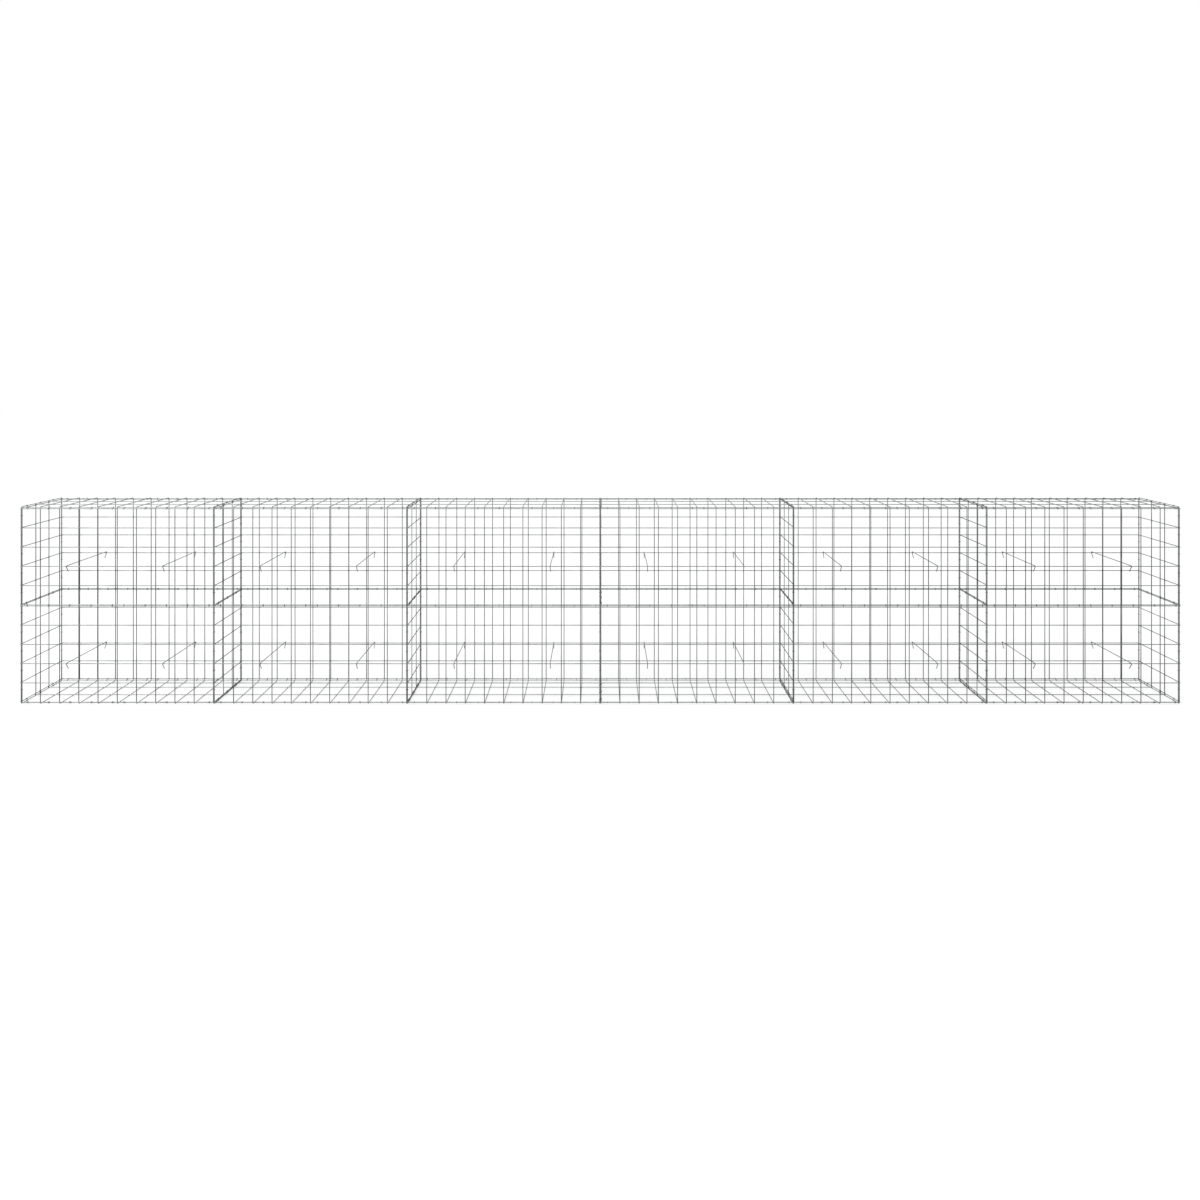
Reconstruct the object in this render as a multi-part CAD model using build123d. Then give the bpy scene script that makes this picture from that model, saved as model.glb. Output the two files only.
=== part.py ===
from build123d import *
import os

# Gabion wall: six empty baskets of welded steel mesh, standing in one straight run.
# Each bay has two rows of front and back panels, a base, a lid and hooked cross ties,
# and an end panel or a partition stands between the faces at each bay's edges.
# Wire rings lace the base and the lid to the ends and partitions, and the wall stands
# on the rings of its base.
# Sizes are in millimetres. X runs along the wall, -Y is the front, Z is up,
# and the origin is at the bottom centre of the wall.

# Driving sizes of the run
bay_count = 6
bay_length = 1000.0
row_count = 2
row_height = 503.0
face_spacing = 304.6

# Driving sizes of the welded mesh
wire = 4.0
mesh_size = 100.0
wire_stub = 0.3

# Clearances between panels that are laced together
bay_gap = 1.0
row_gap = 0.9
face_fit = 0.4
stack_fit = 0.3
end_inset = 4.0

# Driving sizes of a lacing ring, bent from thinner wire
ring_wire = 2.2
ring_fit = 0.3
ring_corner = 2.0
ring_start = 37.0

# Driving sizes of a cross tie, bent from the mesh's wire, and its place off a cell's middle
tie_wire = 4.0
tie_seat = 0.3
tie_shift = -7.0
tie_cells_below_top = 3
hook_reach = 11.5
hook_drop = 32.0
hook_return = 20.0
hook_bend = 3.5

# A wire runs this far past the axis of the last wire that it crosses
wire_end = wire / 2 + wire_stub

# Mesh along the wall: the cell nearest to the mesh size that divides a bay evenly
bay_mesh = bay_length - bay_gap - wire
cells_long = round(bay_mesh / mesh_size)
cell_long = bay_mesh / cells_long

# Mesh up the wall: each row's panel leaves room for its wire ends and those above it
row_mesh = row_height - row_gap - 2 * wire_end
cells_high = round(row_mesh / mesh_size)
cell_high = row_mesh / cells_high

# Mesh across the wall: ends, partitions, base and lid fit between the faces' uprights
face_y = face_spacing / 2
rail_y = face_y + wire
inner_reach = face_y - wire / 2 - face_fit
depth_mesh = 2 * (inner_reach - wire_end)
cells_deep = round(depth_mesh / mesh_size)
cell_deep = depth_mesh / cells_deep

# Heights: rings on the ground, the base's cross wires in them, its long wires on those
base_low = ring_wire + ring_fit
base_z = base_low + wire
first_rail_z = base_z + wire + stack_fit + wire_end
row_centres = [first_rail_z + row_mesh / 2 + row * row_height for row in range(row_count)]
top_rail_z = first_rail_z + (row_count - 1) * row_height + row_mesh
lid_z = top_rail_z + wire_end + stack_fit + wire
lid_high = lid_z + wire

# Places along the wall
wall_length = bay_count * bay_length
bay_centres = [(bay + 0.5) * bay_length - wall_length / 2 for bay in range(bay_count)]
seam_places = [seam * bay_length - wall_length / 2 for seam in range(1, bay_count)]
end_x = wall_length / 2 - end_inset

# What the rings at each seam go round, from the lowest X to the highest
edge_wire_side = bay_gap / 2 + wire
rail_side = 1.5 * wire
end_reach = (wall_length / 2 - edge_wire_side, end_x + rail_side)
ring_reaches = [(x - edge_wire_side, x + max(edge_wire_side, rail_side)) for x in seam_places]
ring_reaches.insert(0, (-end_reach[1], -end_reach[0]))
ring_reaches.append(end_reach)
ring_rows = [ring_start - depth_mesh / 2 + row * cell_deep for row in range(cells_deep)]


def mesh_panel(columns, column_pitch, rows, row_pitch):
    """A flat welded mesh, centred: uprights under local Z = 0 and rails on top of them."""
    upright = Box(wire, rows * row_pitch + 2 * wire_end, wire)
    rail = Box(columns * column_pitch + 2 * wire_end, wire, wire)
    bars = []
    for column in range(columns + 1):
        across = (column - columns / 2) * column_pitch
        bars.append(Pos(across, 0, -wire / 2) * upright)
    for row in range(rows + 1):
        up = (row - rows / 2) * row_pitch
        bars.append(Pos(0, up, wire / 2) * rail)
    return bars[0].fuse(*bars[1:])


def cross_tie():
    """A wire that spans both faces, with each end bent down and back into the basket."""
    corner = rail_y + hook_reach
    tip = corner - hook_return
    path = FilletPolyline(
        (0, -tip, -hook_drop),
        (0, -corner, 0),
        (0, corner, 0),
        (0, tip, -hook_drop),
        radius=hook_bend,
    )
    section = Plane(origin=path @ 0, z_dir=path % 0) * Rectangle(tie_wire, tie_wire)
    return sweep(section, path=path)


def lacing_ring(width, height):
    """A closed ring that stands across local Y, round wires of this width and height."""
    hole = Rectangle(width + 2 * ring_fit, height + 2 * ring_fit)
    outline = Rectangle(width + 2 * (ring_fit + ring_wire), height + 2 * (ring_fit + ring_wire))
    outline = chamfer(outline.vertices(), ring_corner)
    return Plane.XZ.location * extrude(outline - hole, ring_wire / 2, both=True)


def seam_rings(low_z, high_z):
    """Rings across every seam of the base or the lid, one for each cell of its depth."""
    rings = []
    for low_x, high_x in ring_reaches:
        ring = lacing_ring(high_x - low_x, high_z - low_z)
        for y in ring_rows:
            rings.append(Pos((low_x + high_x) / 2, y, (low_z + high_z) / 2) * ring)
    return rings


def placed(panel, origin, x_dir, z_dir):
    """The panel with its rails on the side that z_dir points to."""
    return Plane(origin=origin, x_dir=x_dir, z_dir=z_dir).location * panel


def stacked(panel, x, y, x_dir, z_dir):
    """One panel for each row, one above the other."""
    return [placed(panel, (x, y, z), x_dir, z_dir) for z in row_centres]


def bay_ties(tie, x):
    """Two ties in each row of a bay, near the middle of a cell, over the same rail."""
    side_cell = cells_long // 4
    from_centre = (cells_long / 2 - side_cell - 0.5) * cell_long
    over_rail = row_mesh / 2 - tie_cells_below_top * cell_high
    lift = wire / 2 + tie_seat + tie_wire / 2
    ties = []
    for z in row_centres:
        for side in (-1, 1):
            ties.append(Pos(x + side * from_centre + tie_shift, 0, z + over_rail + lift) * tie)
    return ties


def save(name, solids):
    """Write one node of one or more solids that don't touch."""
    shape = solids[0] if len(solids) == 1 else Compound(children=solids)
    export_step(shape, f"parts/{name}.step")


face_mesh = mesh_panel(cells_long, cell_long, cells_high, cell_high)
cross_mesh = mesh_panel(cells_deep, cell_deep, cells_high, cell_high)
flat_mesh = mesh_panel(cells_deep, cell_deep, cells_long, cell_long)
tie_shape = cross_tie()

os.makedirs("parts", exist_ok=True)

# Each bay: front and back panels, base, lid and ties
weld_y = face_y + wire / 2
for number, bay_x in enumerate(bay_centres, start=1):
    save(f"front_panels_bay_{number}", stacked(face_mesh, bay_x, -weld_y, (1, 0, 0), (0, -1, 0)))
    save(f"back_panels_bay_{number}", stacked(face_mesh, bay_x, weld_y, (-1, 0, 0), (0, 1, 0)))
    save(f"base_panel_bay_{number}", [placed(flat_mesh, (bay_x, 0, base_z), (0, 1, 0), (0, 0, -1))])
    save(f"lid_panel_bay_{number}", [placed(flat_mesh, (bay_x, 0, lid_z), (0, 1, 0), (0, 0, 1))])
    save(f"cross_ties_bay_{number}", bay_ties(tie_shape, bay_x))

# A partition at each seam between two bays, with its rails on the right
for number, seam_x in enumerate(seam_places, start=1):
    save(f"partition_{number}", stacked(cross_mesh, seam_x + wire / 2, 0, (0, 1, 0), (1, 0, 0)))

# The two end panels, with their rails outside
weld_x = end_x + wire / 2
save("end_panels_left", stacked(cross_mesh, -weld_x, 0, (0, -1, 0), (-1, 0, 0)))
save("end_panels_right", stacked(cross_mesh, weld_x, 0, (0, 1, 0), (1, 0, 0)))

# Rings round the base's and the lid's cross wires and the nearest rail of each end or partition
save("base_rings", seam_rings(base_low, first_rail_z + wire / 2))
save("lid_rings", seam_rings(top_rail_z - wire / 2, lid_high))
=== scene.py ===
import math

import bpy
from bpy.props import FloatProperty, FloatVectorProperty, IntProperty
from mathutils import Matrix, Vector


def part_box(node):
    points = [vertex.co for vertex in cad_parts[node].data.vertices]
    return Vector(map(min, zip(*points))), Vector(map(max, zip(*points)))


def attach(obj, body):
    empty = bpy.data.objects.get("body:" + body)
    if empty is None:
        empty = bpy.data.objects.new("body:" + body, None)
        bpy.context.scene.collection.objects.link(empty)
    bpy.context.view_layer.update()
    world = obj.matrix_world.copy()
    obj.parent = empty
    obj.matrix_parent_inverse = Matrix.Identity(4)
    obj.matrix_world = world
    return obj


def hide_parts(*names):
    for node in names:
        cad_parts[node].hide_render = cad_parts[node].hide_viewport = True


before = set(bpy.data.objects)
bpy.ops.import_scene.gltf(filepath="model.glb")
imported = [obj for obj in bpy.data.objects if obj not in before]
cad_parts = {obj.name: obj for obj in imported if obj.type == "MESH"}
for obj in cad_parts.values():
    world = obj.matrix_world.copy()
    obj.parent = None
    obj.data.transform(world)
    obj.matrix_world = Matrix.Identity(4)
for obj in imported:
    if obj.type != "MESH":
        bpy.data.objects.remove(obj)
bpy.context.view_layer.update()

bl_info = {
    "name": "Gabion wall",
    "version": (1, 0, 0),
    "blender": (4, 5, 0),
    "location": "3D View > Sidebar > Gabion",
    "description": "Welded mesh panels, cross ties and lacing rings of an empty gabion wall",
    "category": "Add Mesh",
}

BAY_COUNT = 6
BAYS = range(1, BAY_COUNT + 1)
SEAMS = range(BAY_COUNT + 1)

# Sides and steps of the round shapes
ROD_SIDES = 12
BEAD_SIDES = 8
BEAD_RINGS = 5
TIE_SIDES = 10
TIE_BEND_STEPS = 7
RING_SECTIONS = 14
RING_SIDES = 6

# Small parts of a shape: how square to a rod its cut end is, the worn edge of that end in wire
# radii, the worn tip of a tie in wire thicknesses, a weld bead's waist and how it swells there
SQUARE_CUT = 0.99
ROD_WEAR = 0.28
TIP_WEAR = 0.14
BEAD_WAIST = 0.2
BEAD_SWELL = 1.08

# Points nearer than this are one, where a tie's two halves meet and then all over it
MIRROR_MERGE = 0.00005
POINT_MERGE = 0.00002
TIE_UV_CUBE = 0.05
SMOOTH_BELOW = math.radians(40)

# Painted light and shade: how light the mesh wire is painted at the foot and at the top of a
# panel's uprights and on its rails, where 0 is darkest and higher is lighter; the uprights are
# painted darker towards the foot, as under light from above
FACE_PAINTED_SHADE = (0.0, 0.9, 0.75)
PARTITION_PAINTED_SHADE = (0.75, 1.35, 0.40)
FLAT_PAINTED_SHADE = (1.1, 1.1, 1.1)
# The mark with no painted light or shade: above it the wire is painted lighter, below it darker
UNSHADED_MARK = 0.75
# How much lighter the uprights at a panel's two edges are made
EDGE_LIGHTENING = 0.6

# How fine the marks of each finish are: features in a metre, but drawing lines in a wire's length
PATCHES = 14.0
SPANGLE = 420.0
GRAIN = 1900.0
MESH_LINES = (9.0, 2.5)
TIE_LINES = (7.0, 3.5)
WELD_SPOTS = 260.0
WELD_CRUST = 900.0
RUST_BLOOM = 700.0
TEAR_MARKS = 2600.0
RELIEF = 0.0002
CRUST_RELIEF = 0.0003

# Lacing rings along the rails: how many share half a bay, and where each half starts
RINGS_IN_HALF_BAY = 5
HALF_BAYS = (0.0, 0.5)

# How far off square a ring sits at most, and a factor far from a whole turn, so that the rings'
# numbers spread their turns unevenly
RING_LEAN = math.radians(4.0)
UNEVEN = 12.9898

# The stage
FLOOR_WIDTH = 60.0
FLOOR_GREY = (0.80, 0.80, 0.80, 1.0)
FLOOR_WHITE = 1.06
FLOOR_WHITE_SHARE = 0.72
PALE_DAY = (0.96, 0.98, 1.0, 1.0)
WHITE = (1.0, 1.0, 1.0, 1.0)
SKY_TURN = (math.radians(24), math.radians(-14), 0)
SKY_SPREAD = math.radians(60)
LEFT_LIGHT_PLACE = (-4.2, -1.6, 2.9)
LEFT_LIGHT_AIM = (-1.0, 0, 0.6)
LEFT_LIGHT_WIDTH = 2.4
SENSOR_WIDTH = 36.0


# Sizes and colours

class GabionMeshSizes(bpy.types.PropertyGroup):
    wire: FloatProperty(
        name="Wire", description="Thickness of the mesh wire",
        default=0.004, unit="LENGTH")
    wire_end: FloatProperty(
        name="Wire end",
        description="How far a wire runs past the axis of the last wire it crosses",
        default=0.0023, unit="LENGTH")
    row_gap: FloatProperty(
        name="Row gap", description="Gap between the wire ends of the lower and the upper row",
        default=0.0009, unit="LENGTH")
    cells_long: IntProperty(
        name="Cells along", description="Mesh cells along one bay", default=10)
    cells_high: IntProperty(
        name="Cells up", description="Mesh cells up one row", default=5)
    cells_deep: IntProperty(
        name="Cells deep", description="Mesh cells from the front face to the back face", default=3)
    weld_width: FloatProperty(
        name="Weld width", description="Width of the weld bead at a crossing",
        default=0.0058, unit="LENGTH")
    weld_height: FloatProperty(
        name="Weld height", description="Thickness of the weld bead between the two wires",
        default=0.0030, unit="LENGTH")


class GabionTieSizes(bpy.types.PropertyGroup):
    wire: FloatProperty(
        name="Wire", description="Thickness of the cross ties' wire",
        default=0.004, unit="LENGTH")
    bend: FloatProperty(
        name="Bend", description="Radius of the bend at the axis of a hook",
        default=0.0035, unit="LENGTH")
    hook_return: FloatProperty(
        name="Hook return", description="How far a hook's tip comes back into the basket",
        default=0.020, unit="LENGTH")
    hook_drop: FloatProperty(
        name="Hook drop", description="How far a hook's tip hangs below the tie",
        default=0.032, unit="LENGTH")


class GabionRingSizes(bpy.types.PropertyGroup):
    wire: FloatProperty(
        name="Wire", description="Thickness of the lacing rings' wire",
        default=0.0022, unit="LENGTH")
    fit: FloatProperty(
        name="Fit", description="Play between a ring and the mesh wires inside it",
        default=0.0003, unit="LENGTH")
    start: FloatProperty(
        name="Start", description="Distance from a mesh wire to the first ring after it",
        default=0.037, unit="LENGTH")
    rail_pitch: FloatProperty(
        name="Pitch along rails", description="Distance between rings along a bay's rails",
        default=0.110, unit="LENGTH")
    slit: FloatProperty(
        name="Slit", description="Gap between the ends of a closed ring",
        default=0.0007, unit="LENGTH")


class GabionFinish(bpy.types.PropertyGroup):
    zinc: FloatVectorProperty(
        name="Zinc", description="Clean galvanised wire",
        default=(0.225, 0.238, 0.233), subtype="COLOR", min=0, max=1)
    # Also the darkest colour of the painted shade on the mesh wire
    zinc_dull_and_shade: FloatVectorProperty(
        name="Dull zinc", description="Galvanised wire where the zinc has dulled",
        default=(0.034, 0.038, 0.037), subtype="COLOR", min=0, max=1)
    weld: FloatVectorProperty(
        name="Weld", description="Zinc burnt at a weld",
        default=(0.075, 0.074, 0.070), subtype="COLOR", min=0, max=1)
    tie: FloatVectorProperty(
        name="Tie wire", description="Wire of the ties and rings",
        default=(0.185, 0.195, 0.192), subtype="COLOR", min=0, max=1)
    tie_dull: FloatVectorProperty(
        name="Dull tie wire", description="Wire of the ties and rings where it has dulled",
        default=(0.092, 0.098, 0.097), subtype="COLOR", min=0, max=1)
    cut: FloatVectorProperty(
        name="Cut end", description="Bare steel where a wire was cut after it was galvanised",
        default=(0.120, 0.098, 0.082), subtype="COLOR", min=0, max=1)
    rust: FloatVectorProperty(
        name="Rust", description="First rust on a cut end",
        default=(0.105, 0.046, 0.022), subtype="COLOR", min=0, max=1)


class GabionStudio(bpy.types.PropertyGroup):
    camera_x: FloatProperty(
        name="Camera place", description="The camera's place along the wall",
        default=-0.0013, unit="LENGTH")
    camera_distance: FloatProperty(
        name="Camera distance", description="From the camera to the front uprights",
        default=4.030, unit="LENGTH")
    camera_over_top: FloatProperty(
        name="Camera height", description="From the top rail up to the camera",
        default=0.685, unit="LENGTH")
    lens: FloatProperty(
        name="Lens", description="Focal length on a 36 mm wide sensor", default=23.358)
    horizon: FloatProperty(
        name="Frame shift", description="How far the level camera's frame is shifted down",
        default=-0.1865)
    sky: FloatProperty(
        name="Top light", description="Strength of the soft light from above", default=2.6)
    side_power: FloatProperty(
        name="Left light", description="Power of the soft light at the left", default=70.0)
    world: FloatProperty(
        name="Surroundings", description="Strength of the surroundings' light", default=0.42)


# Small helpers

def sizes():
    return bpy.context.scene.gabion_mesh


def clear_selection():
    """Everything is deselected, so that an operator acts on new shapes only."""
    if bpy.context.object and bpy.context.object.mode != "OBJECT":
        bpy.ops.object.mode_set(mode="OBJECT")
    bpy.ops.object.select_all(action="DESELECT")


def only(piece):
    clear_selection()
    piece.select_set(True)
    bpy.context.view_layer.objects.active = piece


def settle(piece):
    """The piece's place goes into its mesh, and its object stays at the origin."""
    only(piece)
    bpy.ops.object.transform_apply(location=True, rotation=True, scale=True)
    return piece


def pick(piece, test, kind="VERT"):
    """In edit mode of this piece only the vertices or edges that pass the test are selected."""
    only(piece)
    bpy.ops.object.mode_set(mode="EDIT")
    bpy.ops.mesh.select_mode(type=kind)
    bpy.ops.mesh.select_all(action="DESELECT")
    bpy.ops.object.mode_set(mode="OBJECT")
    for member in piece.data.vertices if kind == "VERT" else piece.data.edges:
        member.select = test(member)
    bpy.ops.object.mode_set(mode="EDIT")


def repeat(piece, count, step):
    """A row of like shapes, this far apart."""
    only(piece)
    row = piece.modifiers.new("row", "ARRAY")
    row.count = count
    row.use_relative_offset = False
    row.use_constant_offset = True
    row.constant_offset_displace = step
    bpy.ops.object.modifier_apply(modifier=row.name)
    return piece


def joined(name, shapes):
    clear_selection()
    for shape in shapes:
        shape.select_set(True)
    bpy.context.view_layer.objects.active = shapes[0]
    if len(shapes) > 1:
        bpy.ops.object.join()
    whole = bpy.context.view_layer.objects.active
    whole.name = name
    whole.data.name = name
    return whole


def moved_copy(pattern, name, place):
    """A copy with its own mesh, put in place by a matrix that then goes into the mesh."""
    only(pattern)
    bpy.ops.object.duplicate(linked=False)
    copy = bpy.context.view_layer.objects.active
    copy.name = name
    copy.matrix_world = place
    return settle(copy)


def drop(*patterns):
    clear_selection()
    for pattern in patterns:
        pattern.select_set(True)
    bpy.ops.object.delete()


def finish_piece(piece, nodes=()):
    only(piece)
    bpy.ops.object.shade_smooth_by_angle(angle=SMOOTH_BELOW)
    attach(piece, "root")
    if nodes:
        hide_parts(*nodes)
    return piece


# Materials

class Val:
    """A socket's value, so that shader maths reads as an expression."""

    def __init__(self, tree, socket):
        self.tree = tree
        self.socket = socket

    def _math(self, operation, first, second=None, clamp=False):
        node = self.tree.nodes.new("ShaderNodeMath")
        node.operation = operation
        node.use_clamp = clamp
        for socket, value in zip(node.inputs, (first, second)):
            if isinstance(value, Val):
                self.tree.links.new(value.socket, socket)
            elif value is not None:
                socket.default_value = value
        return Val(self.tree, node.outputs[0])

    def __add__(self, other):
        return self._math("ADD", self, other)

    def __radd__(self, other):
        return self._math("ADD", other, self)

    def __sub__(self, other):
        return self._math("SUBTRACT", self, other)

    def __rsub__(self, other):
        return self._math("SUBTRACT", other, self)

    def __mul__(self, other):
        return self._math("MULTIPLY", self, other)

    def __rmul__(self, other):
        return self._math("MULTIPLY", other, self)

    def held(self):
        """The value held between 0 and 1."""
        return self._math("ADD", self, 0.0, clamp=True)


class Paint:
    """A material's node tree, with one method that makes any node."""

    def __init__(self, name, world=None):
        self.material = world or bpy.data.materials.new(name)
        self.material.use_nodes = True
        self.tree = self.material.node_tree
        self.tree.nodes.clear()

    def node(self, kind, settings=None, values=None, out=0):
        node = self.tree.nodes.new(kind)
        for key, value in (settings or {}).items():
            setattr(node, key, value)
        for key, value in (values or {}).items():
            socket = node.inputs[key]
            if isinstance(value, Val):
                self.tree.links.new(value.socket, socket)
            else:
                socket.default_value = value
        return Val(self.tree, node.outputs[out])

    def noise(self, place, scale, detail=3.0, rough=0.5):
        return self.node(
            "ShaderNodeTexNoise", {},
            {"Vector": place, "Scale": scale, "Detail": detail, "Roughness": rough})

    def grey_ramp(self, value, low, high):
        """0 below low, 1 above high, and even between them."""
        return self.node(
            "ShaderNodeMapRange", {"clamp": True},
            {"Value": value, "From Min": low, "From Max": high, "To Min": 0.0, "To Max": 1.0})

    def blend(self, amount, first, second):
        """The first colour where the amount is 0, the second where it is 1. The Mix node's
        inputs and outputs share their names, so its colours go by number."""
        return self.node(
            "ShaderNodeMix", {"data_type": "RGBA"},
            {"Factor": amount, 6: first, 7: second}, out=2)

    def end(self, shader):
        kind = "World" if isinstance(self.material, bpy.types.World) else "Material"
        output = self.tree.nodes.new("ShaderNodeOutput" + kind)
        self.tree.links.new(shader.socket, output.inputs["Surface"])
        return self.material


def rgba(colour):
    return (colour[0], colour[1], colour[2], 1.0)


def galvanised(name, clean, dull, lines, with_shade_mark):
    """Drawn wire with a zinc coat: dull patches, small spangle and lines drawn along the wire.
    On wires with the shade mark the coat is also painted darker, rougher and less metallic where
    the mark is low, and lighter where it is high."""
    paint = Paint(name)
    place = paint.node("ShaderNodeTexCoord", out="Object")
    along = paint.node("ShaderNodeTexCoord", out="UV")
    patches = paint.noise(place, PATCHES, 4.0, 0.6)
    spangle = paint.node(
        "ShaderNodeTexVoronoi", {"feature": "F1"}, {"Vector": place, "Scale": SPANGLE}, out="Color")
    spangle = paint.node("ShaderNodeSeparateColor", {}, {"Color": spangle}, out="Red")
    drawn = paint.node(
        "ShaderNodeMapping", {"vector_type": "POINT"},
        {"Vector": along, "Scale": (*lines, 1.0)})
    streaks = paint.noise(drawn, 1.0, 3.0, 0.65)
    grain = paint.noise(place, GRAIN, 2.0, 0.6)
    dulled = (paint.grey_ramp(patches, 0.38, 0.66) * 0.50 + spangle * 0.22
              + (streaks - 0.5) * 0.55)
    # Painted shade: the coat is also painted darker towards the foot of the uprights, and lighter
    # or darker over whole kinds of panel, on top of how dulled it is
    if with_shade_mark:
        mark = paint.node(
            "ShaderNodeAttribute",
            {"attribute_name": "painted_shade", "attribute_type": "GEOMETRY"}, out="Fac")
        dulled = dulled + (UNSHADED_MARK - mark)
    dulled = dulled.held()
    colour = paint.blend(dulled, rgba(clean), rgba(dull))
    rough = (0.34 + dulled * 0.24 + (grain - 0.5) * 0.10).held()
    relief = streaks * 0.6 + grain * 0.25 + spangle * 0.15
    bump = paint.node(
        "ShaderNodeBump", {}, {"Strength": 0.35, "Distance": RELIEF, "Height": relief})
    shader = paint.node(
        "ShaderNodeBsdfPrincipled", {},
        {"Base Color": colour, "Metallic": (0.92 - dulled * 0.18).held(),
         "Roughness": rough, "Normal": bump})
    return paint.end(shader)


def weld_scale(name, burnt, clean):
    """A small resistance weld: burnt, rough zinc that thins out to the wire's own coat."""
    paint = Paint(name)
    place = paint.node("ShaderNodeTexCoord", out="Object")
    crust = paint.noise(place, WELD_CRUST, 4.0, 0.7)
    spots = paint.noise(place, WELD_SPOTS, 2.0, 0.5)
    burn = (paint.grey_ramp(spots, 0.30, 0.62) * 0.7 + crust * 0.3).held()
    colour = paint.blend(burn, rgba(clean), rgba(burnt))
    bump = paint.node(
        "ShaderNodeBump", {}, {"Strength": 0.6, "Distance": CRUST_RELIEF, "Height": crust})
    shader = paint.node(
        "ShaderNodeBsdfPrincipled", {},
        {"Base Color": colour, "Metallic": (0.85 - burn * 0.35).held(),
         "Roughness": (0.45 + burn * 0.25).held(), "Normal": bump})
    return paint.end(shader)


def cut_end(name, steel, rust):
    """Sheared steel with fine tear marks and a first bloom of rust."""
    paint = Paint(name)
    place = paint.node("ShaderNodeTexCoord", out="Object")
    bloom = paint.grey_ramp(paint.noise(place, RUST_BLOOM, 3.0, 0.6), 0.42, 0.62)
    torn = paint.noise(place, TEAR_MARKS, 2.0, 0.5)
    bump = paint.node(
        "ShaderNodeBump", {}, {"Strength": 0.5, "Distance": RELIEF, "Height": torn})
    shader = paint.node(
        "ShaderNodeBsdfPrincipled", {},
        {"Base Color": paint.blend(bloom * 0.7, rgba(steel), rgba(rust)),
         "Metallic": (0.9 - bloom * 0.6).held(), "Roughness": (0.38 + bloom * 0.35).held(),
         "Normal": bump})
    return paint.end(shader)


def material(name):
    """The wall's materials, made when the first piece asks for them."""
    found = bpy.data.materials.get(name)
    if found:
        return found
    finish = bpy.context.scene.gabion_finish
    if name == "galvanised_mesh_wire":
        return galvanised(name, finish.zinc, finish.zinc_dull_and_shade, MESH_LINES, with_shade_mark=True)
    if name == "galvanised_tie_wire":
        return galvanised(name, finish.tie, finish.tie_dull, TIE_LINES, with_shade_mark=False)
    if name == "cut_end":
        return cut_end(name, finish.cut, finish.rust)
    return weld_scale(name, finish.weld, finish.zinc)


def coat(piece, name, bare):
    """The piece gets this finish, and its faces that pass the test that of a cut end."""
    piece.data.materials.append(material(name))
    piece.data.materials.append(material("cut_end"))
    for face in piece.data.polygons:
        face.material_index = int(bare(face))


def end_cap(face):
    """A cut end is the only face of a bent wire with more than four corners."""
    return len(face.vertices) > 4


# Mesh panels

def mark_shade_along_rod(rod, foot, top):
    """A mark of painted shade, even from the foot of the rod to its top, where a lower mark paints
    the wire darker.
    """
    mark = rod.data.attributes.new("painted_shade", "FLOAT", "POINT")
    for vertex in rod.data.vertices:
        mark.data[vertex.index].value = top if vertex.co.z > 0 else foot


def lighten_edge_uprights(uprights, beyond):
    """The uprights at a panel's two edges are made lighter."""
    mark = uprights.data.attributes["painted_shade"]
    for vertex in uprights.data.vertices:
        if abs(vertex.co.x) > beyond:
            mark.data[vertex.index].value += EDGE_LIGHTENING


def wire_rod(name, radius, length, foot, top):
    """A round wire along Z, cut square, with its cut edges worn off and its painted shade set from
    foot to top.
    """
    clear_selection()
    bpy.ops.mesh.primitive_cylinder_add(
        vertices=ROD_SIDES, radius=radius, depth=length, end_fill_type="NGON")
    rod = bpy.context.object
    rod.name = name
    high = [vertex.co.z > 0 for vertex in rod.data.vertices]
    pick(rod, lambda edge: high[edge.vertices[0]] == high[edge.vertices[1]], kind="EDGE")
    bpy.ops.mesh.bevel(offset=radius * ROD_WEAR, segments=1, affect="EDGES")
    bpy.ops.object.mode_set(mode="OBJECT")
    coat(rod, "galvanised_mesh_wire", lambda face: abs(face.normal.z) > SQUARE_CUT)
    mark_shade_along_rod(rod, foot, top)
    return rod


def weld_bead(width, height):
    """The metal squeezed out between two crossed wires, flat along Y."""
    clear_selection()
    bpy.ops.mesh.primitive_uv_sphere_add(
        segments=BEAD_SIDES, ring_count=BEAD_RINGS, radius=width / 2)
    bead = bpy.context.object
    pick(bead, lambda vertex: abs(vertex.co.z) < width * BEAD_WAIST)
    bpy.ops.transform.resize(value=(BEAD_SWELL, BEAD_SWELL, 1.0))
    bpy.ops.mesh.select_all(action="SELECT")
    bpy.ops.transform.resize(value=(1.0, 1.0, height / width))
    bpy.ops.object.mode_set(mode="OBJECT")
    bead.matrix_world = Matrix.Rotation(math.radians(90), 4, "X")
    settle(bead)
    bead.data.materials.append(material("weld_scale"))
    return bead


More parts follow.
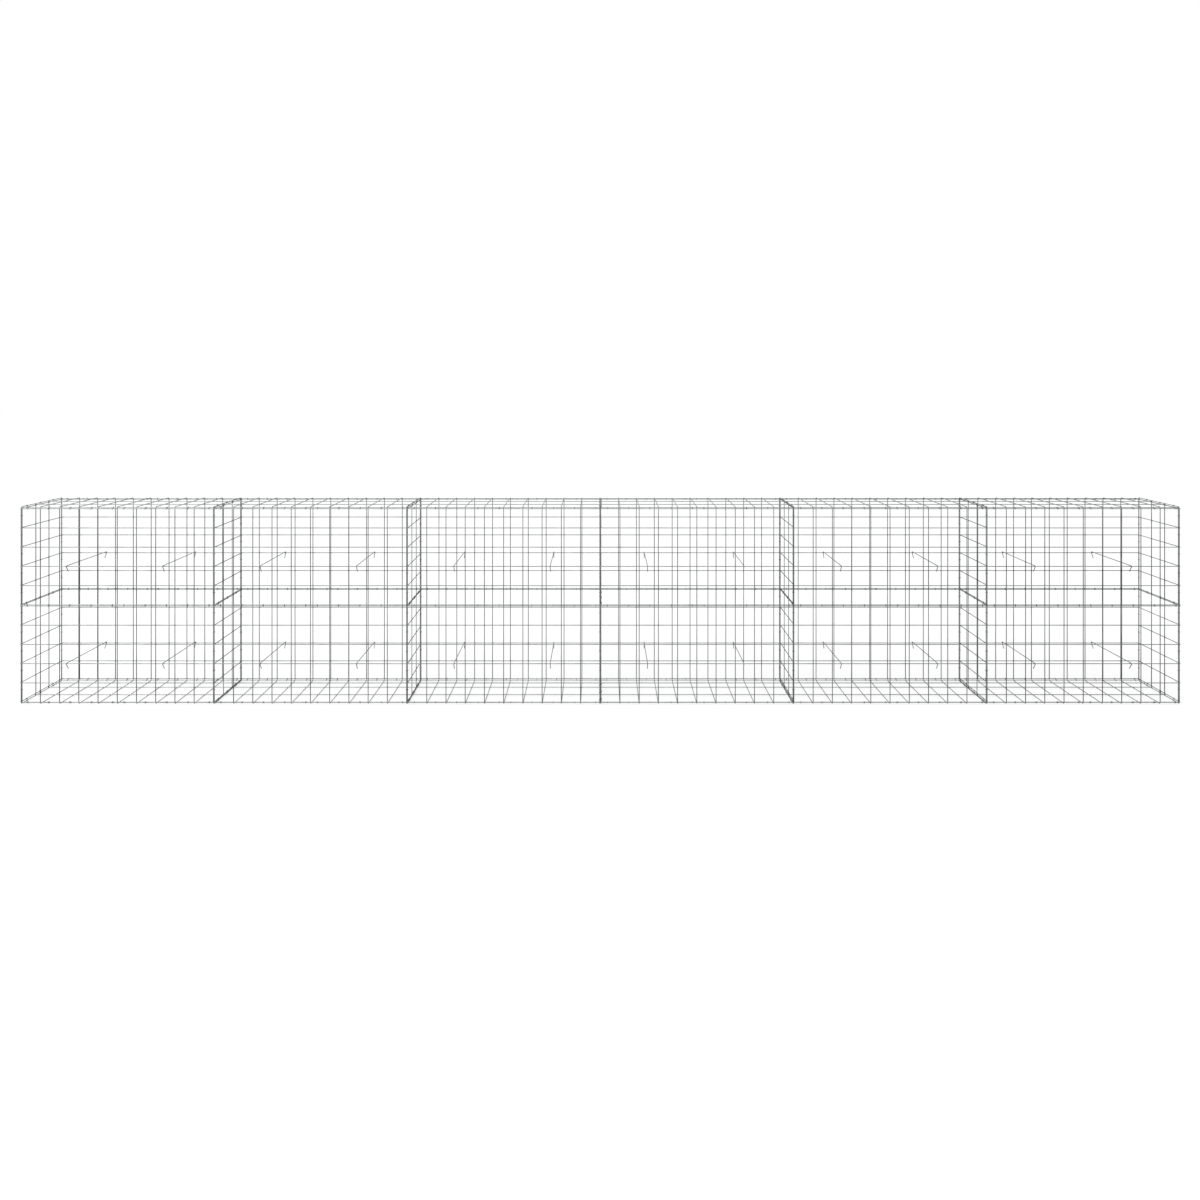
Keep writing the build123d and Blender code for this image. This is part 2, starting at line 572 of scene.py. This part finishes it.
def panel_pattern(name, columns, width, rows, height, zinc):
    """One welded panel, upright and centred: uprights behind Y = 0, rails in front of it."""
    mesh = sizes()
    # The painted shade at the foot and at the top of the uprights and on the rails
    foot, top, rails = zinc
    radius = mesh.wire / 2
    pitch_x = (width - 2 * mesh.wire_end) / columns
    pitch_z = (height - 2 * mesh.wire_end) / rows
    left = mesh.wire_end - width / 2
    low = mesh.wire_end - height / 2

    upright = wire_rod(name + "_upright", radius, height, foot, top)
    upright.matrix_world = Matrix.Translation((left, radius, 0))
    repeat(settle(upright), columns + 1, (pitch_x, 0, 0))
    lighten_edge_uprights(upright, width / 2 - mesh.wire - mesh.wire_end)

    rail = wire_rod(name + "_rail", radius, width, rails, rails)
    lying = Matrix.Rotation(math.radians(90), 4, "Y")
    rail.matrix_world = Matrix.Translation((0, -radius, low)) @ lying
    repeat(settle(rail), rows + 1, (0, 0, pitch_z))

    bead = weld_bead(mesh.weld_width, mesh.weld_height)
    bead.matrix_world = Matrix.Translation((left, 0, low))
    repeat(settle(bead), columns + 1, (pitch_x, 0, 0))
    repeat(bead, rows + 1, (0, 0, pitch_z))
    return joined(name, [upright, rail, bead])


def panel_place(centre, across, up, out):
    """Where a pattern goes: its X along across, its Z along up, and its rails towards out."""
    turn = Matrix((across, -Vector(out), up)).transposed().to_4x4()
    return Matrix.Translation(centre) @ turn


def panel_height(low, high):
    """How high each of the two panels in a node's box is."""
    return (high.z - low.z - sizes().row_gap) / 2


def row_centres(low, high):
    """The heights of the middles of the lower and the upper panel in a node's box."""
    half = panel_height(low, high) / 2
    return low.z + half, high.z - half


def stacked_panels(name, node, pattern, across, out):
    """The lower and the upper panel that take one node's place, with rails towards out."""
    low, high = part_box(node)
    middle = (low + high) / 2
    halves = []
    for number, z in enumerate(row_centres(low, high)):
        place = panel_place((middle.x, middle.y, z), Vector(across), Vector((0, 0, 1)), out)
        halves.append(moved_copy(pattern, f"{name}_{number}", place))
    return finish_piece(joined(name, halves), (node,))


class GABION_OT_faces(bpy.types.Operator):
    """Make the front and back mesh panels of every bay"""
    bl_idname = "gabion.faces"
    bl_label = "Face panels"

    def execute(self, context):
        mesh = sizes()
        low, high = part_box("front_panels_bay_1")
        pattern = panel_pattern(
            "face_pattern", mesh.cells_long, high.x - low.x,
            mesh.cells_high, panel_height(low, high), FACE_PAINTED_SHADE)
        for bay in BAYS:
            stacked_panels(
                f"front_mesh_bay_{bay}", f"front_panels_bay_{bay}", pattern, (1, 0, 0), (0, -1, 0))
            stacked_panels(
                f"back_mesh_bay_{bay}", f"back_panels_bay_{bay}", pattern, (-1, 0, 0), (0, 1, 0))
        drop(pattern)
        return {"FINISHED"}


class GABION_OT_partitions(bpy.types.Operator):
    """Make the partitions between the bays and the panels at both ends"""
    bl_idname = "gabion.partitions"
    bl_label = "Partitions and ends"

    def execute(self, context):
        mesh = sizes()
        low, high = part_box("partition_1")
        shape = (mesh.cells_deep, high.y - low.y, mesh.cells_high, panel_height(low, high))
        pattern = panel_pattern("cross_pattern", *shape, PARTITION_PAINTED_SHADE)
        for number in range(1, BAY_COUNT):
            stacked_panels(
                f"partition_mesh_{number}", f"partition_{number}", pattern, (0, 1, 0), (1, 0, 0))
        drop(pattern)
        pattern = panel_pattern("end_pattern", *shape, FACE_PAINTED_SHADE)
        stacked_panels("end_mesh_left", "end_panels_left", pattern, (0, -1, 0), (-1, 0, 0))
        stacked_panels("end_mesh_right", "end_panels_right", pattern, (0, 1, 0), (1, 0, 0))
        drop(pattern)
        return {"FINISHED"}


class GABION_OT_flats(bpy.types.Operator):
    """Make the base and the lid of every bay"""
    bl_idname = "gabion.flats"
    bl_label = "Base and lid panels"

    def execute(self, context):
        mesh = sizes()
        low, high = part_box("lid_panel_bay_1")
        pattern = panel_pattern(
            "flat_pattern", mesh.cells_deep, high.y - low.y, mesh.cells_long, high.x - low.x,
            FLAT_PAINTED_SHADE)
        for bay in BAYS:
            for kind, side in (("base", -1), ("lid", 1)):
                node = f"{kind}_panel_bay_{bay}"
                low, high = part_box(node)
                place = panel_place(
                    (low + high) / 2, Vector((0, -side, 0)), Vector((1, 0, 0)), (0, 0, side))
                flat = moved_copy(pattern, f"{kind}_mesh_bay_{bay}", place)
                finish_piece(flat, (node,))
        drop(pattern)
        return {"FINISHED"}


# Cross ties

def tie_pattern():
    """One cross tie, centred over X = 0 and with its shaft along Z = 0."""
    tie = bpy.context.scene.gabion_tie
    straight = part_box("cross_ties_bay_1")[1].y - tie.bend - tie.wire / 2
    lean = math.atan2(tie.hook_return, tie.hook_drop)
    turn = math.radians(90) + lean
    leg = math.hypot(tie.hook_return, tie.hook_drop) - tie.bend * math.tan(turn / 2)
    clear_selection()
    bpy.ops.mesh.primitive_circle_add(
        vertices=TIE_SIDES, radius=tie.wire / 2, fill_type="NOTHING",
        rotation=(math.radians(90), 0, 0))
    shape = bpy.context.object
    shape.name = "tie_pattern"
    settle(shape)
    only(shape)
    bpy.ops.object.mode_set(mode="EDIT")
    bpy.ops.mesh.select_all(action="SELECT")
    bpy.ops.mesh.extrude_region_move(TRANSFORM_OT_translate={"value": (0, straight, 0)})
    bpy.ops.mesh.spin(
        steps=TIE_BEND_STEPS, angle=turn, center=(0, straight, -tie.bend), axis=(1, 0, 0))
    way = Vector((0, -math.sin(lean), -math.cos(lean)))
    bpy.ops.mesh.extrude_region_move(TRANSFORM_OT_translate={"value": way * leg})
    bpy.ops.mesh.edge_face_add()
    bpy.ops.mesh.inset(thickness=tie.wire * TIP_WEAR, depth=tie.wire * TIP_WEAR)
    bpy.ops.object.mode_set(mode="OBJECT")
    mirror = shape.modifiers.new("other_end", "MIRROR")
    mirror.use_axis = (False, True, False)
    mirror.merge_threshold = MIRROR_MERGE
    bpy.ops.object.modifier_apply(modifier=mirror.name)
    only(shape)
    bpy.ops.object.mode_set(mode="EDIT")
    bpy.ops.mesh.select_all(action="SELECT")
    bpy.ops.mesh.remove_doubles(threshold=POINT_MERGE)
    bpy.ops.mesh.normals_make_consistent(inside=False)
    bpy.ops.mesh.select_all(action="SELECT")
    bpy.ops.uv.cube_project(cube_size=TIE_UV_CUBE)
    bpy.ops.object.mode_set(mode="OBJECT")
    coat(shape, "galvanised_tie_wire", end_cap)
    return shape


class GABION_OT_ties(bpy.types.Operator):
    """Make the hooked cross ties, four in a bay"""
    bl_idname = "gabion.ties"
    bl_label = "Cross ties"

    def execute(self, context):
        tie = context.scene.gabion_tie
        pattern = tie_pattern()
        lower, upper = row_centres(*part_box("front_panels_bay_1"))
        step = upper - lower
        for bay in BAYS:
            low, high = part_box(f"cross_ties_bay_{bay}")
            top = high.z - tie.wire / 2
            ties = []
            for x in (low.x + tie.wire / 2, high.x - tie.wire / 2):
                for z in (top - step, top):
                    place = Matrix.Translation((x, (low.y + high.y) / 2, z))
                    ties.append(moved_copy(pattern, f"tie_{bay}", place))
            finish_piece(joined(f"cross_tie_wires_bay_{bay}", ties),
                         (f"cross_ties_bay_{bay}",))
        drop(pattern)
        return {"FINISHED"}


# Lacing rings

def ring_pattern(name, wires):
    """A ring in the XZ plane round wires along Y, at these places in X and Z."""
    ring = bpy.context.scene.gabion_ring
    wires = [Vector((x, 0, z)) for x, z in wires]
    hold = sizes().wire / 2 + ring.fit + ring.wire / 2
    clear_selection()
    bpy.ops.mesh.primitive_torus_add(
        major_segments=RING_SECTIONS, minor_segments=RING_SIDES,
        major_radius=hold, minor_radius=ring.wire / 2, rotation=(math.radians(90), 0, 0))
    loop = bpy.context.object
    loop.name = name
    settle(loop)
    sections = {}
    for vertex in loop.data.vertices:
        angle = math.degrees(math.atan2(vertex.co.z, vertex.co.x)) % 360
        sections.setdefault(round(angle), []).append(vertex.index)
    held_by = {}
    for angle in sections:
        # A tenth of a degree on, so that no section is as near to two wires
        turned = math.radians(angle + 0.1)
        way = Vector((math.cos(turned), 0, math.sin(turned)))
        nearest = max(range(len(wires)), key=lambda i: wires[i].dot(way))
        held_by.setdefault(nearest, set()).update(sections[angle])
    for number, members in held_by.items():
        pick(loop, lambda vertex: vertex.index in members)
        bpy.ops.transform.translate(value=wires[number])
    bpy.ops.object.mode_set(mode="OBJECT")
    open_ring(loop, sections)
    coat(loop, "galvanised_tie_wire", end_cap)
    return loop


def hand_set(middle, place, number):
    """A ring closed by hand sits a little turned about its middle, each one differently."""
    turn = Matrix.Rotation(RING_LEAN * math.sin(number * UNEVEN), 4, "Z")
    return Matrix.Translation(middle) @ turn @ Matrix.Translation(-middle) @ place


def open_ring(loop, sections):
    """Where the pliers closed the ring its two ends meet, with a slit between them."""
    members = set(sections[min(sections, key=lambda angle: abs(angle - 180))])
    slit = bpy.context.scene.gabion_ring.slit
    pick(loop, lambda vertex: vertex.index in members)
    bpy.ops.mesh.bevel(offset=slit / 2, segments=1, affect="EDGES")
    bpy.ops.mesh.select_mode(type="FACE")
    bpy.ops.mesh.delete(type="ONLY_FACE")
    bpy.ops.mesh.select_mode(type="EDGE")
    bpy.ops.mesh.select_all(action="DESELECT")
    bpy.ops.mesh.select_non_manifold()
    bpy.ops.mesh.fill_holes(sides=0)
    bpy.ops.object.mode_set(mode="OBJECT")


def seam_xs():
    """The seams between bays and the two ends, from the left."""
    low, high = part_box("front_panels_bay_1")
    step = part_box("front_panels_bay_2")[0].x - low.x
    start = low.x - (step - (high.x - low.x)) / 2
    return [start + step * seam for seam in SEAMS]


def wire_lines():
    """The axes of the wires that rings hold, read off the nodes' boxes."""
    mesh = sizes()
    half = mesh.wire / 2
    front_low, front_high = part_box("front_panels_bay_1")
    part_low, part_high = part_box("partition_1")
    lid_low, lid_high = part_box("lid_panel_bay_1")
    base_low, base_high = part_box("base_panel_bay_1")
    height = panel_height(front_low, front_high)
    lower, upper = row_centres(front_low, front_high)
    return {
        "rail_y": -front_low.y - half,
        "upright_y": -front_high.y + half,
        "cross_y": part_high.y - mesh.wire_end,
        "bottom_rail": front_low.z + mesh.wire_end,
        "lower_top_rail": lower + height / 2 - mesh.wire_end,
        "upper_bottom_rail": upper - height / 2 + mesh.wire_end,
        "top_rail": front_high.z - mesh.wire_end,
        "lid_long_z": lid_low.z + half,
        "lid_cross_z": lid_high.z - half,
        "base_cross_z": base_low.z + half,
        "base_long_z": base_high.z - half,
        "cell_high": (height - 2 * mesh.wire_end) / mesh.cells_high,
        "cell_deep": (part_high.y - part_low.y - 2 * mesh.wire_end) / mesh.cells_deep,
    }


def seam_wires(seam):
    """Places in X of a seam's wires: the face uprights, the cross upright and the cross rail."""
    mesh = sizes()
    half = mesh.wire / 2
    x = seam_xs()[seam]
    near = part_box("front_panels_bay_1")[0].x + mesh.wire_end - seam_xs()[0]
    if seam == 0:
        low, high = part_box("end_panels_left")
        return [x + near], high.x - half, low.x + half
    if seam == BAY_COUNT:
        low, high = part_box("end_panels_right")
        return [x - near], low.x + half, high.x - half
    low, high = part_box(f"partition_{seam}")
    return [x - near, x + near], low.x + half, high.x - half


def upright_rings(faces, upright, lines):
    """Rings round a seam's uprights, one for each cell up the front and the back."""
    ring = bpy.context.scene.gabion_ring
    wires = [(x, lines["upright_y"]) for x in faces] + [(upright, lines["cross_y"])]
    back = ring_pattern("back_ring", wires)
    front = ring_pattern("front_ring", [(x, -y) for x, y in wires])
    turn = Matrix.Rotation(math.radians(-90), 4, "X")
    rings = []
    for top in (lines["lower_top_rail"], lines["top_rail"]):
        for cell in range(sizes().cells_high):
            z = top - ring.start - cell * lines["cell_high"]
            for pattern in (front, back):
                place = Matrix.Translation((0, 0, z)) @ turn
                rings.append(moved_copy(pattern, "ring", place))
    drop(front, back)
    return rings


def cross_rings(name, wires, rail, lines, first):
    """Rings round cross wires, one for each cell of the wall's depth, numbered from first."""
    first_y = bpy.context.scene.gabion_ring.start - lines["cross_y"]
    pattern = ring_pattern(name, wires)
    rings = []
    for cell in range(sizes().cells_deep):
        y = first_y + lines["cell_deep"] * cell
        place = hand_set(Vector((rail, y, 0)), Matrix.Translation((0, y, 0)), first + cell)
        rings.append(moved_copy(pattern, "ring", place))
    drop(pattern)
    return rings


def rail_patterns(lines):
    """Rings round the rails of the back and the front, each with the place in Y of its middle:
    at the base, between the rows and at the lid."""
    levels = [
        [(lines["rail_y"], lines["bottom_rail"]), (lines["cross_y"], lines["base_long_z"])],
        [(lines["rail_y"], lines[level]) for level in ("lower_top_rail", "upper_bottom_rail")],
        [(lines["rail_y"], lines["top_rail"]), (lines["cross_y"], lines["lid_long_z"])],
    ]
    patterns = []
    for wires in levels:
        middle_y = sum(y for y, z in wires) / len(wires)
        patterns.append((ring_pattern("back_rail_ring", wires), middle_y))
        patterns.append((ring_pattern("front_rail_ring", [(-y, z) for y, z in wires]), -middle_y))
    return patterns


def rail_rings(start, patterns):
    """Rings along the rails of the bay that starts here."""
    ring = bpy.context.scene.gabion_ring
    turn = Matrix.Rotation(math.radians(90), 4, "Z")
    rings = []
    for half_bay in HALF_BAYS:
        for number in range(RINGS_IN_HALF_BAY):
            x = start + half_bay + ring.start + number * ring.rail_pitch
            for pattern, y in patterns:
                place = Matrix.Translation((x, 0, 0)) @ turn
                place = hand_set(Vector((x, y, 0)), place, len(rings))
                rings.append(moved_copy(pattern, "ring", place))
    return rings


class GABION_OT_rings(bpy.types.Operator):
    """Make the rings that lace the panels together along every seam and rail"""
    bl_idname = "gabion.rings"
    bl_label = "Lacing rings"

    def execute(self, context):
        lines = wire_lines()
        low_rings = []
        high_rings = []
        for seam in SEAMS:
            faces, upright, rail = seam_wires(seam)
            rings = upright_rings(faces, upright, lines)
            wires = [(rail, lines["lower_top_rail"]), (rail, lines["upper_bottom_rail"])]
            rings += cross_rings("middle_ring", wires, rail, lines, len(rings))
            finish_piece(joined(f"seam_rings_{seam + 1}", rings))
            # The base's and the lid's cross wires are held with the nearest cross rail
            wires = [(x, lines["base_cross_z"]) for x in faces] + [(rail, lines["bottom_rail"])]
            low_rings += cross_rings("low_ring", wires, rail, lines, len(low_rings))
            wires = [(x, lines["lid_cross_z"]) for x in faces] + [(rail, lines["top_rail"])]
            high_rings += cross_rings("high_ring", wires, rail, lines, len(high_rings))
        finish_piece(joined("base_ring_wires", low_rings), ("base_rings",))
        finish_piece(joined("lid_ring_wires", high_rings), ("lid_rings",))

        patterns = rail_patterns(lines)
        for bay in BAYS:
            rings = rail_rings(seam_xs()[bay - 1], patterns)
            finish_piece(joined(f"rail_rings_bay_{bay}", rings))
        drop(*(pattern for pattern, middle_y in patterns))
        return {"FINISHED"}


# Stage

def seen_rays(paint):
    """1 for what the camera sees, also in metal, and 0 for the light that falls on the wall."""
    path = paint.node("ShaderNodeLightPath")
    rays = [Val(paint.tree, path.socket.node.outputs[name])
            for name in ("Is Camera Ray", "Is Glossy Ray", "Is Transmission Ray")]
    return (rays[0] + rays[1] + rays[2]).held()


class GABION_OT_stage(bpy.types.Operator):
    """Set the floor, the surroundings, the lights and the camera"""
    bl_idname = "gabion.stage"
    bl_label = "Stage"

    def execute(self, context):
        studio = context.scene.gabion_studio
        scene = context.scene
        scene.view_settings.view_transform = "Standard"

        clear_selection()
        bpy.ops.mesh.primitive_plane_add(size=FLOOR_WIDTH, location=(0, 0, 0))
        floor = context.object
        floor.name = "floor"
        settle(floor)
        paint = Paint("studio_floor")
        seen = seen_rays(paint)
        matt = paint.node("ShaderNodeBsdfDiffuse", {}, {"Color": FLOOR_GREY})
        white = paint.node("ShaderNodeEmission", {}, {"Color": WHITE, "Strength": FLOOR_WHITE})
        soft = paint.node("ShaderNodeMixShader", {}, {0: FLOOR_WHITE_SHARE, 1: matt, 2: white})
        floor.data.materials.append(paint.end(
            paint.node("ShaderNodeMixShader", {}, {0: seen, 1: matt, 2: soft})))

        world = bpy.data.worlds.new("studio")
        scene.world = world
        paint = Paint("studio", world)
        plain = paint.node(
            "ShaderNodeBackground", {}, {"Color": PALE_DAY, "Strength": studio.world})
        white = paint.node("ShaderNodeBackground", {}, {"Color": WHITE, "Strength": 1.0})
        paint.end(paint.node("ShaderNodeMixShader", {}, {0: seen_rays(paint), 1: plain, 2: white}))

        clear_selection()
        bpy.ops.object.light_add(type="SUN", rotation=SKY_TURN)
        sky = context.object
        sky.name = "sky_light"
        sky.data.energy = studio.sky
        sky.data.angle = SKY_SPREAD

        clear_selection()
        bpy.ops.object.light_add(type="AREA", location=LEFT_LIGHT_PLACE)
        side = context.object
        side.name = "left_light"
        side.data.shape = "RECTANGLE"
        side.data.size = LEFT_LIGHT_WIDTH
        side.data.size_y = LEFT_LIGHT_WIDTH
        side.data.energy = studio.side_power
        aim = Vector(LEFT_LIGHT_AIM) - side.location
        side.rotation_euler = aim.to_track_quat("-Z", "Y").to_euler()

        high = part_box("front_panels_bay_1")[1]
        top_rail_z = high.z - sizes().wire_end
        upright_y = high.y - sizes().wire / 2
        clear_selection()
        bpy.ops.object.camera_add(
            location=(studio.camera_x, upright_y - studio.camera_distance,
                      top_rail_z + studio.camera_over_top),
            rotation=(math.radians(90), 0, 0))
        camera = context.object
        camera.data.sensor_width = SENSOR_WIDTH
        camera.data.lens = studio.lens
        camera.data.shift_y = studio.horizon
        scene.camera = camera
        return {"FINISHED"}


class GABION_PT_panel(bpy.types.Panel):
    """The gabion wall's pieces and sizes"""
    bl_idname = "GABION_PT_panel"
    bl_label = "Gabion wall"
    bl_space_type = "VIEW_3D"
    bl_region_type = "UI"
    bl_category = "Gabion"

    def draw(self, context):
        for operator in OPERATORS:
            self.layout.operator(operator.bl_idname)
        for name in GROUPS:
            group = getattr(context.scene, name)
            box = self.layout.box()
            for key in group.bl_rna.properties.keys():
                if key not in ("rna_type", "name"):
                    box.prop(group, key)


OPERATORS = (GABION_OT_faces, GABION_OT_partitions, GABION_OT_flats, GABION_OT_ties,
             GABION_OT_rings, GABION_OT_stage)
GROUPS = {
    "gabion_mesh": GabionMeshSizes,
    "gabion_tie": GabionTieSizes,
    "gabion_ring": GabionRingSizes,
    "gabion_finish": GabionFinish,
    "gabion_studio": GabionStudio,
}


def register():
    for group in GROUPS.values():
        bpy.utils.register_class(group)
    for name, group in GROUPS.items():
        setattr(bpy.types.Scene, name, bpy.props.PointerProperty(type=group))
    for operator in OPERATORS:
        bpy.utils.register_class(operator)
    bpy.utils.register_class(GABION_PT_panel)


def unregister():
    bpy.utils.unregister_class(GABION_PT_panel)
    for operator in reversed(OPERATORS):
        bpy.utils.unregister_class(operator)
    for name, group in GROUPS.items():
        delattr(bpy.types.Scene, name)
        bpy.utils.unregister_class(group)


def main():
    register()
    bpy.ops.gabion.faces()
    bpy.ops.gabion.partitions()
    bpy.ops.gabion.flats()
    bpy.ops.gabion.ties()
    bpy.ops.gabion.rings()
    bpy.ops.gabion.stage()


if __name__ == "__main__":
    main()
